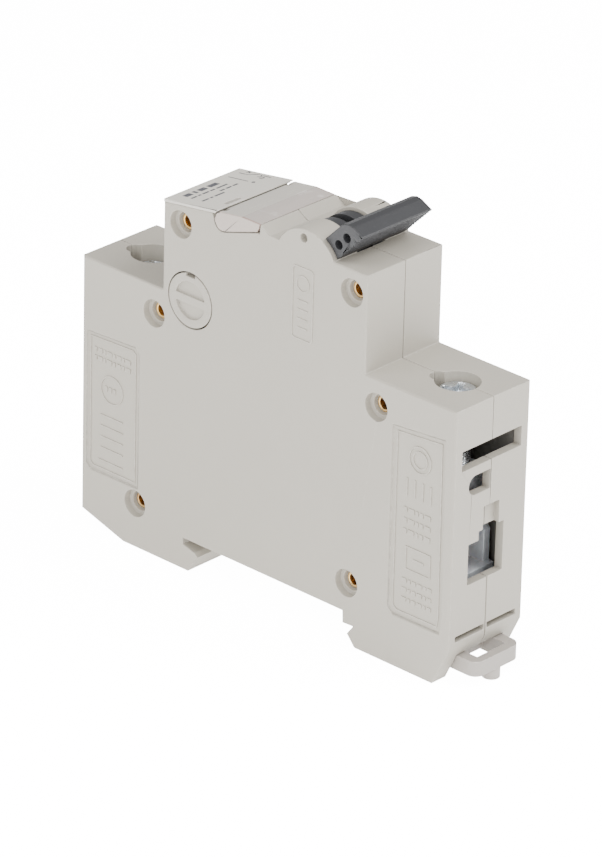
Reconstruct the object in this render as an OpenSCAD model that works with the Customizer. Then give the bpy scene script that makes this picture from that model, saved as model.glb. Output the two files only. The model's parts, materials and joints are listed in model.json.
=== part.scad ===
// One-pole miniature circuit breaker for a 35 mm rail.
// Frame: origin on the rail seat, at the middle of the housing. +Z points away from the rail,
// +X points to the load terminal and the rail clip, -Y is the near side of the housing.

/* [Housing] */
// Length of the housing along the conductor path
body_l = 83; // [80:0.5:100]
// Width of the housing, one module
body_w = 17.6; // [16.5:0.1:22]
// Height of the terminal shoulders above the rail seat
terminal_h = 43.5; // [43:0.1:52]
// Height of the nose shoulder above the rail seat
nose_h = 60.6; // [60.2:0.1:61]
// Length of the nose that shows through a panel cut-out
nose_l = 45; // [44:0.1:46]
// Distance from the middle of the housing to the line side of the nose
nose_line_x = 23; // [22.5:0.1:23.5]
// How far the foot reaches below the rail seat
foot_depth = 5.8; // [5.2:0.1:7]
// Thickness of the end, top and bottom walls
wall = 1.6; // [1.2:0.1:1.8]
// Thickness of the two side walls
side_wall = 1.6; // [1.3:0.1:1.8]

/* [Rail seat] */
// Width of the recess that takes the 35 mm rail
recess_l = 36; // [35.6:0.1:36.4]
// Reach of the fixed claw under the rail flange
claw_reach = 3.4; // [2:0.1:4]

/* [Toggle] */
// Height of the toggle axis above the rail seat
toggle_z = 57.5; // [57.3:0.1:57.6]
// Distance of the toggle axis from the middle of the housing
toggle_x = 8.6; // [8.4:0.1:8.8]
// Radius of the two cheeks beside the toggle
cheek_r = 6.7; // [6.5:0.05:6.8]
// Radius of the toggle drum
drum_r = 6.2; // [6:0.05:6.3]
// Width of the toggle drum
drum_w = 6; // [5.6:0.1:6.2]
// Width of the toggle handle
handle_w = 16.2; // [14:0.1:16.4]
// Thickness of the toggle handle
handle_t = 3.9; // [3.4:0.1:4]
// Distance from the toggle axis to the tip of the handle
handle_reach = 14.4; // [12:0.1:15]
// Lean of the handle from the rail plane when the breaker is off
off_angle = 45; // [44:1:48]
// Radius of the toggle axle
axle_r = 1; // [0.9:0.05:1.2]

/* [Terminals] */
// Distance from the middle of the housing to each terminal screw
screw_x = 33.8; // [33.4:0.1:34.2]
// Radius of the well over each terminal screw
well_r = 3.75; // [3.5:0.05:3.9]
// Radius of the terminal screw's thread
thread_r = 2.5; // [2.2:0.05:2.6]
// Width of the clamp cage
cage_w = 11; // [9.5:0.1:12]
// Length of the clamp cage along the conductor
cage_l = 8.6; // [7.5:0.1:9]
// Height of the clamp cage
cage_h = 18; // [17:0.1:19]
// Thickness of the cage's walls
cage_wall = 1.5; // [1.2:0.1:1.6]

/* [Rail clip] */
// Width of the rail clip
clip_w = 10.8; // [9.5:0.1:11.5]
// Thickness of the rail clip
clip_t = 2.7; // [2.2:0.1:2.8]
// Reach of the clip's pull loop past the end of the housing
clip_out = 3.1; // [2:0.1:4]

/* [Mechanism] */
// Radius of the crank pin on the toggle
crank_r = 3.8; // [3.6:0.05:3.9]
// Turn of the contact arm from open to closed
arm_turn = 16; // [14:0.5:17]
// Outer radius of the coil bobbin
bobbin_r = 5.8; // [5.4:0.1:6]
// Radius of the coil wire
coil_wire_r = 0.6; // [0.45:0.05:0.62]
// Number of arc splitter plates
plate_count = 7; // [5:1:7]

/* [Clearances] */
// Radial clearance of a pin in its bore
running = 0.05; // [0.02:0.01:0.09]
// Clearance between pieces that slide past each other
sliding = 0.2; // [0.15:0.05:0.25]
// Clearance of a loose internal fit
loose = 0.1; // [0.05:0.05:0.15]

/* [Hidden] */
$fn = 64;
cut = 1;              // how far a cut runs past the face that it opens
end_x = body_l / 2;
half_w = body_w / 2;
in_y = half_w - side_wall;
foot_z = -foot_depth;
nose_x0 = -nose_line_x;
nose_x1 = nose_x0 + nose_l;
in_x = end_x - wall;
in_top = terminal_h - wall;
// rail recess and claws
rec_x0 = -recess_l / 2 + 0.4;
rec_x1 = rec_x0 + recess_l;
rail_t = 1;           // thickness of the rail's flange
// nose top: front plate, window bed, ridge and valley
label_x1 = -12.2;
label_z0 = nose_h - 1;
label_z1 = nose_h + 0.5;
plate_t = 0.6;
plate_x1 = -10.9;
plate_z1 = label_z0 + (label_z1 - label_z0) * (plate_x1 - nose_x0) / (label_x1 - nose_x0);
slot_low = [-12.7, -5.6, label_z1 - 1.6];
slot_high = [-11.8, -2.1, label_z1 + 1];
crease = [-5.65, nose_h + 1.25];
lip = [-1.35, nose_h + 1.2];
valley_x = 0.7;
window_t = 0.9;
window_gap = 0.15;
hinge = [-9.95, nose_h - 0.95];
knuckle_r = 1.62;
pocket_r = knuckle_r + sliding;
ear_t = 0.9;
bed_z = lip[1] - window_t - 0.7;
lug_r = 1.1;          // shell's lug that holds the window's hinge pin
lug_y = [6.85, 7.75];
card_t = 0.25;
hinge_pin_r = 0.6;
// toggle
toggle_at = [toggle_x, toggle_z];
slot_w = drum_w + 0.6;
slot_r = cheek_r + 0.05;
handle_r0 = cheek_r + 0.3;
block_x0 = 0.9;
block_x1 = toggle_x + 8.6;
block_z = toggle_z - 7.7;
spring_pocket_r = 5.8;
spring_pocket_y = 1.7;
anchor = [toggle_x - 0.6, toggle_z + 5.15];
anchor_r = 0.65;
hub_r = 2.4;
web_gap = 0.9;        // half of the slot between the drum's two discs
// rivets: three on each side of the middle, [x, z]
rivets_at = [[-19.1, 56.2], [-24.9, 38.4], [-28.8, 2.3], [18.6, 56.6], [24.5, 38.6], [19.1, 5.2]];
rivet_r = 1.25;
rivet_bore_r = 0.95;
rivet_head_r = 1.55;
rivet_head_t = 0.35;
sink_r = 2.4;
sink_d = 1.4;
seat_r = 1.75;
seat_d = 1.9;          // depth of the rivet's head below the side face
boss_r = 2.45;
// calibration plug and cam
plug_at = [-16.8, 43.4];
plug_r = 4.75;
plug_gap = 0.25;
cam_r = 2.2;
// terminals
top_h = 6.1;          // height of the block that holds a screw's head
head_r = 3.35;
head_h = 2.6;
line_head_z = terminal_h - 2.6;
load_head_z = terminal_h - 1.4;
groove_x = 3.4;
groove_r = 1.6;
tongue_z = 21.5;
tongue_t = 1.2;
tongue_w = 7.2;
cage_z = 9.6;
mouth_x = cage_l / 2 - 1.1;
cheek_z = 8.7;        // height of the cage's side walls at the mouth
back_x = 1.2;
screw_tip_z = tongue_z + tongue_t + 0.4;
load_tab_x = 23.6;
vent_z = [2.2, 3.2];
vent_rib = 0.35;      // half of the rib that splits the gas vent
room_x = 27.8;        // inner face of the partition beside each terminal
entry_y = [-4.8, 3.5];
entry_z = [11.6, 20.4];
busbar_y = 7;
notch_y = [-1.5, 2.3];
notch_d = 1.1;         // depth of the notch over the cable entry
window_y = [-5.2, -0.2];
window_r = 1.7;
window_z = 29.1;
busbar_z = [32.5, 36];
// rail clip
clip_z1 = -1.15;
clip_z0 = clip_z1 - clip_t;
clip_x0 = rec_x1 - 1.8;
clip_x1 = end_x + clip_out;
channel_top = clip_z1 + sliding;
channel_w = clip_w + 2 * sliding;
loop_r = 1.8;
loop_bar = 1.6;
window_w = 6.8;
window_x0 = clip_x1 - loop_bar - 4.9;
clip_slot_x = [24, 34.4];
clip_slot_w = 4.4;
stop_x = [32.2, 33.8];
stop_w = 3.6;
// contact system, drawn closed and turned open about the carrier's pivot
pivot = [2, 44];
pivot_r = 1.1;
link_hole = [-4, 43.9];
crank0 = 168;
crank_at = toggle_at + crank_r * [cos(crank0), sin(crank0)];
link_r = 0.5;
contact_x = 6.5;
contact_z = 25.4;
tip_t = 0.9;
tip_r = 1.6;
contact_gap = 0.05;
holder_t = 1.2;
arm_t = 2;
carrier_w = 5.2;
carrier_gap = 1.2;
// coil
coil_z = 31;
coil_x = [10, 21];
coil_turns = 6;
coil_bend_r = 4.1;
bore_r = 2.4;
tube_r = 3.2;
flange_t = 0.8;
striker_r = 0.65;
// arc chute
chute_x = [9.2, 24.9];
chute_z = [8.7, 20.1];
plates_z = 9.8;
plate_pitch = 1.4;
splitter_t = 0.7;
sheet_t = 0.8;
// bimetal and trip lever
strip_x = -13.1;
strip_t = 0.8;
strip_w = 6;
strip_z = [20, 48];
riser_x = nose_x0 + wall + 0.6;
braid_r = 0.8;
lever_at = [-8, 34];
lever_pin_r = 0.9;
latch_at = [-3, 47.5];
latch_tip = [-9.5, 45.8];
latch_pin_r = 0.8;
link_room_r = 2;      // room for the link's lower end, which swings wide of the arm's arc
hook_at = [-8.6, 43.4];
spring_post = [-10.5, 38.2];
stub_at = [0.6, 38.2];

// ---------- helpers ----------

// A side-view outline, drawn in x and z, given a thickness from y0 to y1
module slab(y0, y1) {
  translate([0, y1, 0]) rotate([90, 0, 0]) linear_extrude(y1 - y0) children();
}

// A round bar along Y through a point of the side view
module cross_bar(at, r, y0, y1) {
  translate([at[0], y1, at[1]]) rotate([90, 0, 0]) cylinder(r = r, h = y1 - y0);
}

// A round bar along X
module long_bar(x0, x1, y, z, r) {
  translate([x0, y, z]) rotate([0, 90, 0]) cylinder(r = r, h = x1 - x0);
}

// A box between two corners
module block(low, high) {
  translate(low) cube(high - low);
}

// A straight bar with round ends in the side view
module bar_2d(a, b, w) {
  d = b - a;
  translate(a) rotate(atan2(d[1], d[0])) translate([0, -w / 2]) square([norm(d), w]);
  translate(a) circle(w / 2);
  translate(b) circle(w / 2);
}

function unit(v) = v / norm(v);
function headings(path) = let (last = len(path) - 1)
  [for (i = [0:last]) unit(path[min(i + 1, last)] - path[max(i - 1, 0)])];
function carried(side, heading) = unit(side - (side * heading) * heading);
function sides(heads, side, i = 0) = i == len(heads) ? []
  : let (now = carried(side, heads[i])) concat([now], sides(heads, now, i + 1));

// Round wire along a path of points
module wire(path, r, facets = 8) {
  heads = headings(path);
  start = abs(heads[0][2]) < 0.9 ? [0, 0, 1] : [1, 0, 0];
  across = sides(heads, start);
  last = len(path) - 1;
  points = [for (i = [0:last]) for (j = [0:facets - 1]) let (a = 360 * j / facets)
    path[i] + r * (cos(a) * across[i] + sin(a) * cross(heads[i], across[i]))];
  skin = [for (i = [0:last - 1]) for (j = [0:facets - 1]) let (k = (j + 1) % facets)
    each [[i * facets + j, (i + 1) * facets + k, i * facets + k],
      [i * facets + j, (i + 1) * facets + j, (i + 1) * facets + k]]];
  caps = [[for (j = [0:facets - 1]) j],
    [for (j = [facets - 1:-1:0]) last * facets + j]];
  polyhedron(points, concat(skin, caps));
}

// Points of a coil about the X, Y or Z axis: axis 0, 1 or 2
function coil_points(at, axis, r, length, turns, steps, start = 0) =
  [for (i = [0:turns * steps]) let (a = start + 360 * i / steps, h = length * i / (turns * steps))
    at + (axis == 0 ? [h, r * cos(a), r * sin(a)]
      : axis == 1 ? [r * cos(a), h, r * sin(a)]
      : [r * cos(a), r * sin(a), h])];

// ---------- housing ----------

// Side view of the housing without the front plate and the window
module housing_outline() {
  polygon([
    [-31.5, foot_z], [rec_x0 + 1.2, foot_z], [rec_x0 + claw_reach, -2.5],
    [rec_x0 + claw_reach - 0.7, -1.9], [rec_x0, -rail_t - 0.2], [rec_x0, 0], [rec_x1, 0],
    [rec_x1 + 0.1, -2.2], [rec_x1 + 2.4, -2.1], [rec_x1 + 1.1, -3.8], [rec_x1 + 2.8, foot_z],
    [end_x - 3.2, foot_z], [end_x, 1.1], [end_x, terminal_h], [nose_x1, terminal_h],
    [nose_x1, nose_h], [valley_x, nose_h], [lip[0], lip[1]], [lip[0] - 0.1, lip[1]],
    [lip[0] - 0.25, bed_z], [hinge[0], bed_z], [hinge[0] - pocket_r, hinge[1]],
    [label_x1, label_z1 - plate_t], [nose_x0, label_z0 - plate_t], [nose_x0, terminal_h],
    [-end_x, terminal_h], [-end_x, foot_z + 3]]);
  translate(toggle_at) circle(cheek_r);
}

// Side view of the hollow inside the housing
module hollow_outline() {
  left = rec_x0 - wall;
  polygon([[-in_x, foot_z + 4.2], [-31.3, foot_z + wall], [left, foot_z + wall], [left, wall],
    [in_x, wall], [in_x, in_top], [nose_x1 - wall, in_top], [nose_x1 - wall, nose_h - wall],
    [block_x1, nose_h - wall], [block_x1, block_z], [block_x0, block_z], [block_x0, nose_h - 4.2],
    [nose_x0 + wall, nose_h - 4.2], [nose_x0 + wall, in_top], [-in_x, in_top]]);
}

// Side view of the window's ears, larger by a gap
module ear_outline(gap = 0) {
  translate(hinge) circle(knuckle_r + gap);
  polygon([hinge + [0, knuckle_r + gap], crease + [0, gap], lip + [-0.3 + gap, gap],
    lip + [-0.75 + gap, -1.4 - gap], hinge + [0.6, -knuckle_r - gap + 0.06], hinge]);
}

// A partition beside a terminal, with a way through for the terminal plate
module partition(side) {
  x = side * room_x;
  difference() {
    block([min(x, x - side * 1.2), -in_y, foot_z + wall], [max(x, x - side * 1.2), in_y, in_top]);
    block([x - 3, -tongue_w / 2 - loose, tongue_z - loose],
      [x + 3, tongue_w / 2 + loose, tongue_z + tongue_t + loose]);
    if (side > 0) block([x - 3, -in_y - cut, wall], [x + 3, in_y + cut, 7]);
  }
}

// The block round a terminal screw's head, under the top wall
module screw_block(side) {
  block([side * screw_x - 5.5, -in_y, terminal_h - top_h], [side * screw_x + 5.5, in_y, in_top]);
}

module screw_well(side, floor_z) {
  translate([side * screw_x, 0, floor_z]) cylinder(r = well_r, h = terminal_h);
  translate([side * screw_x, 0, in_top - top_h]) cylinder(r = thread_r + sliding, h = 2 * top_h);
}

// A box between two corners for the load end, or its mirror image for the line end
module at_end(side, low, high) {
  block([side > 0 ? low[0] : -high[0], side > 0 ? low[1] : -high[1], low[2]],
    [side > 0 ? high[0] : -low[0], side > 0 ? high[1] : -low[1], high[2]]);
}

// Cable entry, busbar slot and test window of one end
module end_openings(side) {
  x0 = in_x - 1;
  x1 = end_x + cut;
  at_end(side, [x0, entry_y[0], entry_z[0]], [x1, entry_y[1], entry_z[1] - 1.6]);
  at_end(side, [x0, entry_y[0] / 2, entry_z[1] - 2], [x1, entry_y[1], entry_z[1]]);
  // shallow notch over the entry, which doesn't go through the wall
  at_end(side, [end_x - notch_d, notch_y[0], entry_z[1] - 0.1], [x1, notch_y[1], entry_z[1] + 4.1]);
  at_end(side, [x0, -busbar_y, busbar_z[0]], [x1, busbar_y, busbar_z[1]]);
  // test window with one round end
  at_end(side, [x0, window_y[0] + window_r, window_z - window_r], [x1, window_y[1], window_z + window_r]);
  translate([side > 0 ? x0 : -x1, side * (window_y[0] + window_r), window_z]) rotate([0, 90, 0])
    cylinder(r = window_r, h = x1 - x0);
}

// Everything that is cut from both halves of the housing
module housing_cuts() {
  // rivet holes and the sinks for their heads
  for (at = rivets_at) {
    cross_bar(at, rivet_r, -half_w - cut, half_w + cut);
    for (s = [-1, 1]) {
      cross_bar(at, sink_r, s > 0 ? half_w - sink_d : -half_w - cut,
        s > 0 ? half_w + cut : -half_w + sink_d);
      cross_bar(at, seat_r, s > 0 ? half_w - seat_d - rivet_head_t : -half_w - cut,
        s > 0 ? half_w + cut : -half_w + seat_d + rivet_head_t);
    }
  }
  // slot for the toggle's drum and the space for its crank and link
  cross_bar(toggle_at, slot_r, -slot_w / 2, slot_w / 2);
  block([block_x0 - cut, -slot_w / 2, block_z - cut], [toggle_x + 2, slot_w / 2, toggle_z]);
  // pocket for the toggle spring, its anchor, and the axle
  cross_bar(toggle_at, spring_pocket_r, -slot_w / 2 - spring_pocket_y, 0);
  cross_bar(anchor, anchor_r, -half_w + 1, 0);
  cross_bar(anchor, anchor_r + 0.1, -half_w - cut, -half_w + 1.2);
  cross_bar(toggle_at, axle_r, -half_w + side_wall, half_w - side_wall);
  // pivot pins
  cross_bar(pivot, pivot_r, -in_y - 0.8, in_y + 0.8);
  cross_bar(lever_at, lever_pin_r, -in_y - 0.8, in_y + 0.8);
  // window: knuckle pocket, ears and hinge pins
  cross_bar(hinge, pocket_r, -half_w - cut, half_w + cut);
  slab(-half_w - cut, -half_w + ear_t + window_gap) ear_outline(window_gap);
  slab(half_w - ear_t - window_gap, half_w + cut) ear_outline(window_gap);
  // screw wells and the openings of the two ends
  screw_well(-1, line_head_z - head_h - 0.1);
  screw_well(1, load_head_z - head_h - 0.1);
  // guide grooves for the screwdriver
  for (side = [-1, 1]) translate([side * screw_x - groove_x, -0.6, line_head_z - head_h])
    cylinder(r = groove_r, h = terminal_h);
  end_openings(1);
  end_openings(-1);
  // gas vent
  for (s = [-1, 1]) block([in_x - cut, s > 0 ? vent_rib : -in_y, vent_z[0]],
    [end_x + cut, s > 0 ? in_y : -vent_rib, vent_z[1]]);
  // channel of the rail clip, open below
  block([rec_x1 - 3, -channel_w / 2, foot_z - cut], [end_x + cut, channel_w / 2, channel_top]);
  // finger slot beside the window's knuckle
  block(slot_low, slot_high);
}

// Shallow panels on a side face, from a depth of 0.3 outwards
module panels(y0, y1) {
  slab(y0, y1) {
    polygon([[-40.2, 30.2], [-28.9, 30.7], [-28.3, 30.1], [-28.3, 5.2], [-39.4, 5.1], [-40.2, 5.9]]);
    polygon([[28.2, 36.8], [39.4, 37.8], [39.7, 6], [39.4, 3.6], [29.1, 3.5], [28.2, 4.4]]);
  }
}

// The whole housing, before it is split at the parting plane
module housing() {
  difference() {
    union() {
      difference() {
        slab(-half_w, half_w) housing_outline();
        slab(-in_y, in_y) hollow_outline();
      }
      partition(-1);
      partition(1);
      screw_block(-1);
      screw_block(1);
      for (at = rivets_at) cross_bar(at, boss_r, -in_y - 0.1, in_y + 0.1);
      block([room_x, -in_y - 0.1, 7], [in_x + 0.1, in_y + 0.1, 8.2]);
      // post that holds the contact spring
      cross_bar(spring_post, 1, -in_y - 0.1, -in_y + 3);
    }
    housing_cuts();
    panels(-half_w - cut, -half_w + 0.3);
    panels(half_w - 0.3, half_w + cut);
  }
  // lugs for the window's hinge pins
  for (s = [-1, 1]) difference() {
    slab(s > 0 ? lug_y[0] : -lug_y[1], s > 0 ? lug_y[1] : -lug_y[0]) {
      translate(hinge) circle(lug_r);
      translate(hinge - [lug_r, pocket_r + 0.5]) square([2 * lug_r, pocket_r + 0.5]);
    }
    cross_bar(hinge, hinge_pin_r + running, -half_w, half_w);
  }
  // stop for the clip spring and the ledges that carry the clip
  block([stop_x[0], -stop_w / 2, clip_z0 + 0.3], [stop_x[1], stop_w / 2, channel_top]);
  for (s = [-1, 1])
    block([24, s > 0 ? channel_w / 2 - 1 : -channel_w / 2, foot_z + 0.8],
      [36, s > 0 ? channel_w / 2 : -channel_w / 2 + 1, clip_z0 - sliding]);
}

module near_shell() {
  color("#c9c6bf") difference() {
    intersection() {
      housing();
      block([-60, -half_w - cut, -20], [60, 0, 80]);
    }
    cross_bar(plug_at, plug_r + plug_gap, -half_w - cut, -in_y + cut);
  }
}

module far_shell() {
  color("#c4c1ba") intersection() {
    housing();
    block([-60, 0, -20], [60, half_w + cut, 80]);
  }
}

module rivets() {
  color("#b8935a") for (at = rivets_at) difference() {
    union() {
      cross_bar(at, rivet_r, -half_w + seat_d, half_w - seat_d);
      cross_bar(at, rivet_head_r, -half_w + seat_d, -half_w + seat_d + rivet_head_t);
      cross_bar(at, rivet_head_r, half_w - seat_d - rivet_head_t, half_w - seat_d);
    }
    cross_bar(at, rivet_bore_r, -half_w, half_w);
  }
}

module front_plate() {
  color("#d6d3cc") difference() {
    slab(-half_w, half_w) polygon([[nose_x0, label_z0 - plate_t], [plate_x1, plate_z1 - plate_t],
      [plate_x1, plate_z1], [nose_x0, label_z0]]);
    cross_bar(hinge, pocket_r + 0.05, -half_w - cut, half_w + cut);
    block(slot_low, slot_high);
  }
}

module label_card() {
  color("#e4e0d6") block([hinge[0] + pocket_r + 0.4, -in_y, bed_z],
    [lip[0] - 0.5, in_y, bed_z + card_t]);
}

// Side view of the window's plate, from the knuckle to the free end
module window_2d() {
  polygon([hinge + [0, knuckle_r], crease, lip + [-0.3, 0], lip + [-0.45, -window_t],
    crease + [0, -window_t], hinge + [0, knuckle_r - window_t]]);
}

module label_window() {
  knuckle_y = lug_y[0] - 0.15;
  color("#e2d6d2", 0.6) {
    difference() {
      slab(-half_w, half_w) window_2d();
      for (s = [-1, 1]) cross_bar(hinge, lug_r + window_gap, s > 0 ? knuckle_y : -half_w,
        s > 0 ? half_w : -knuckle_y);
    }
    cross_bar(hinge, knuckle_r, -knuckle_y, knuckle_y);
    for (s = [-1, 1]) slab(s > 0 ? half_w - ear_t : -half_w, s > 0 ? half_w : -half_w + ear_t)
      ear_outline();
    for (s = [-1, 1]) cross_bar(hinge, hinge_pin_r, s > 0 ? knuckle_y - 0.1 : -half_w + 0.1,
      s > 0 ? half_w - 0.1 : -knuckle_y + 0.1);
  }
}

module calibration_plug() {
  color("#c6c3bc") difference() {
    union() {
      cross_bar(plug_at, plug_r, -half_w, -half_w + 1.5);
      cross_bar(plug_at, plug_r - 1.4, -half_w + 1.4, -half_w + 3.2);
    }
    // shallow ring and the grip bar left standing in it
    difference() {
      cross_bar(plug_at, 3.3, -half_w - cut, -half_w + 0.5);
      block([plug_at[0] - 4, -half_w - cut, plug_at[1] - 0.7], [plug_at[0] + 4, 0, plug_at[1] + 0.7]);
    }
    block([plug_at[0] - 1, -half_w - cut, plug_at[1] + plug_r - 0.6],
      [plug_at[0] + 1, 0, plug_at[1] + plug_r + cut]);
  }
}

module calibration_cam() {
  color("#b8935a") difference() {
    union() {
      cross_bar(plug_at + [0.25, 0], cam_r, -4.6, 3.4);
      cross_bar(plug_at, 1.2, 3.3, in_y);
    }
    block([plug_at[0] - 2, -5, plug_at[1] - 0.35], [plug_at[0] + 2, -3.8, plug_at[1] + 0.35]);
  }
}

// ---------- toggle ----------

// Side view of the handle, drawn along +X from the toggle's axis
module handle_2d() {
  difference() {
    polygon([[0, -handle_t / 2], [handle_reach - 0.2, -handle_t / 2],
      [handle_reach - 0.2, -handle_t / 2 + 0.3], [handle_reach - 0.9, handle_t / 2 - 1.5],
      [handle_reach - 1.5, handle_t / 2 - 0.6], [handle_reach - 2.6, handle_t / 2],
      [0, handle_t / 2]]);
    circle(handle_r0);
  }
}

module toggle() {
  color("#4b4c50") difference() {
    union() {
      for (s = [-1, 1]) cross_bar(toggle_at, drum_r, s > 0 ? web_gap : -drum_w / 2,
        s > 0 ? drum_w / 2 : -web_gap);
      cross_bar(toggle_at, hub_r, -drum_w / 2, drum_w / 2);
      // neck through the slot and the full-width handle
      slab(-drum_w / 2, drum_w / 2) translate(toggle_at) rotate(off_angle)
        polygon([[0, -1.7], [handle_r0 + 1, -1.7], [handle_r0 + 1, 1.7], [0, 1.7]]);
      slab(-handle_w / 2, handle_w / 2) translate(toggle_at) rotate(off_angle) handle_2d();
    }
    cross_bar(toggle_at, axle_r + running, -half_w, half_w);
    cross_bar(crank_at, link_r + 2 * running, -half_w, half_w);
    // two blind holes for a handle tie, at the near end of the handle
    for (d = [8.7, 11.1]) cross_bar(toggle_at + rot2(off_angle) * [d, -0.25], 0.8,
      -handle_w / 2 - cut, -handle_w / 2 + 5);
    // finger ribs on the underside
    for (i = [0:7]) slab(-handle_w / 2 - cut, handle_w / 2 + cut) translate(toggle_at)
      rotate(off_angle) translate([handle_r0 + 1.6 + 0.7 * i, -handle_t / 2]) circle(0.2, $fn = 16);
  }
}

function rot2(a) = [[cos(a), -sin(a)], [sin(a), cos(a)]];

module toggle_axle() {
  color("#a9adb2") cross_bar(toggle_at, axle_r, -in_y, in_y);
}

module spring_anchor() {
  color("#a9adb2") cross_bar(anchor, anchor_r, -half_w + 2.2, -slot_w / 2 - 0.1);
}

module toggle_spring() {
  y0 = -slot_w / 2 - spring_pocket_y + 0.35;
  turns = coil_points([toggle_x, y0, toggle_z], 1, 2.3, 1.05, 2, 20, 90);
  color("#b4b7ba") wire(concat(
    [for (r = [4.25, 3.6, 2.9]) [toggle_x + 0.15 * (r - 2.3), y0, toggle_z + r]],
    [for (p = turns) p], [for (r = [2.9, 3.6]) [toggle_x, y0 + 1.05, toggle_z + r]]), 0.25);
}

module link() {
  foot = open_pose(link_hole);
  color("#a9adb2") {
    slab(-0.5, 0.5) bar_2d(crank_at, foot, 2 * link_r + 0.4);
    cross_bar(crank_at, link_r, -drum_w / 2 + 0.1, drum_w / 2 - 0.1);
    cross_bar(foot, link_r, -carrier_w / 2 + 0.1, carrier_w / 2 - 0.1);
  }
}

// ---------- contact system ----------

// A point of the closed contact system, as it lies when open
function open_pose(p) = pivot + rot2(-arm_turn) * (p - pivot);

// Children drawn closed, turned to the open pose about the carrier's pivot
module opened() {
  translate([pivot[0], 0, pivot[1]]) rotate([0, arm_turn, 0]) translate([-pivot[0], 0, -pivot[1]])
    children();
}

module carrier_2d() {
  bar_2d(pivot, link_hole, 6);
  polygon([pivot + [-3, 1], pivot + [3, 1], [5.8, 34], [1.4, 34]]);
  translate(pivot) circle(3.4);
  translate(latch_at) circle(1.7);
  bar_2d(latch_at, latch_at + [1, -3], 3);
}

module contact_carrier() {
  color("#3c3f44") opened() difference() {
    union() {
      for (s = [-1, 1]) slab(s > 0 ? carrier_gap : -carrier_w / 2, s > 0 ? carrier_w / 2 : -carrier_gap)
        carrier_2d();
      slab(-carrier_w / 2, carrier_w / 2) polygon([[4.2, 39.5], [5.4, 39.5], [6.1, 34], [5, 34]]);
      // stub that the contact spring pulls on
      cross_bar(stub_at, 0.8, -5.8, -carrier_w / 2 + 0.1);
    }
    cross_bar(pivot, pivot_r + running, -half_w, half_w);
    cross_bar(link_hole, link_room_r, -half_w, half_w);
    cross_bar(latch_at, latch_pin_r + running, -half_w, half_w);
  }
}

module carrier_pivot_pin() {
  color("#a9adb2") cross_bar(pivot, pivot_r, -in_y - 0.7, in_y + 0.7);
}

module contact_arm() {
  color("#b87a4b") opened() difference() {
    slab(-arm_t / 2, arm_t / 2) polygon([[0.2, 45.6], [3.6, 45.6], [4, 36], [contact_x - tip_t, 30],
      [contact_x - tip_t, 23.6], [3.2, 23.6], [2.8, 30], [0.2, 38]]);
    cross_bar(pivot, pivot_r + running, -half_w, half_w);
  }
}

module moving_tip() {
  color("#cfd1d0") opened() long_bar(contact_x - tip_t, contact_x, 0, contact_z, tip_r);
}

module contact_spring() {
  from = spring_post + [1.2, 0];
  way = open_pose(stub_at) - from;
  run = norm(way) - 1.2;
  color("#b4b7ba") translate([from[0], -5.2, from[1]]) rotate([0, -atan2(way[1], way[0]), 0])
    wire(coil_points([0, 0, 0], 0, 1.1, run, 7, 12), 0.2, 6);
}

module latch_pin() {
  color("#a9adb2") opened() cross_bar(latch_at, latch_pin_r, carrier_w / 2 - 1.4, 4.7);
}

module latch() {
  color("#d8b36a") opened() difference() {
    slab(carrier_w / 2 + 0.3, 4.4) {
      translate(latch_at) circle(1.7);
      bar_2d(latch_at, latch_tip, 1.6);
    }
    cross_bar(latch_at, latch_pin_r + running, -half_w, half_w);
  }
}

module trip_lever() {
  color("#e0ddd4") difference() {
    union() {
      cross_bar(lever_at, 2.2, -3.4, 6.4);
      slab(4.9, 6.4) bar_2d(lever_at, hook_at, 2.2);
      slab(2.9, 6.4) translate(hook_at - [1.2, 0.4]) square([2.4, 1.7]);
      slab(-3.4, 3.4) bar_2d(lever_at, [-8.4, 23], 2);
    }
    cross_bar(lever_at, lever_pin_r + running, -half_w, half_w);
  }
}

module trip_lever_pin() {
  color("#a9adb2") cross_bar(lever_at, lever_pin_r, -in_y - 0.7, in_y + 0.7);
}

module trip_spring() {
  turns = coil_points([lever_at[0], -5.6, lever_at[1]], 1, 1.7, 1.6, 3, 16, 200);
  color("#b4b7ba") wire(concat([[lever_at[0] - 1.2, -5.6, lever_at[1] - 4.5],
    [lever_at[0] - 1.5, -5.6, lever_at[1] - 2.4]], [for (p = turns) p]), 0.2, 6);
}

module bimetal_strip() {
  color("#9a8f7d") block([strip_x, -strip_w / 2, strip_z[0]], [strip_x + strip_t, strip_w / 2,
    strip_z[1]]);
}

module bimetal_bracket() {
  color("#b9bcbe") {
    block([riser_x + tongue_t, -strip_w / 2, 50.6], [strip_x, strip_w / 2, 51.8]);
    block([strip_x - 1.2, -strip_w / 2, 38], [strip_x, strip_w / 2, 50.7]);
  }
}

module braid() {
  from_x = strip_x + strip_t + braid_r + 0.05;
  path = [[from_x, 0, 26], [from_x + 0.1, 1, 23.2], [-10.2, 1.2, 20.4], [-7.6, 0.8, 18.8],
    [-5, 0, 19.2], [-3.6, 0, 21.8], [-3.1, 0, 25.5], [-2.4, 0, 29], [-2.1, 0, 32]];
  color("#a5673c") wire(path, braid_r);
}

// ---------- terminals ----------

module line_plate() {
  color("#b87a4b") {
    block([-screw_x - cage_l / 2 + 0.6, -tongue_w / 2, tongue_z],
      [riser_x + tongue_t, tongue_w / 2, tongue_z + tongue_t]);
    block([riser_x, -tongue_w / 2, tongue_z + tongue_t - 0.01],
      [riser_x + tongue_t, tongue_w / 2, 52]);
  }
}

module load_plate() {
  color("#b87a4b") {
    block([load_tab_x, -tongue_w / 2, tongue_z], [screw_x + cage_l / 2 - 0.6, tongue_w / 2,
      tongue_z + tongue_t]);
    block([load_tab_x, -tongue_w / 2, tongue_z + tongue_t - 0.01],
      [load_tab_x + tongue_t, tongue_w / 2, 28]);
  }
}

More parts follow.
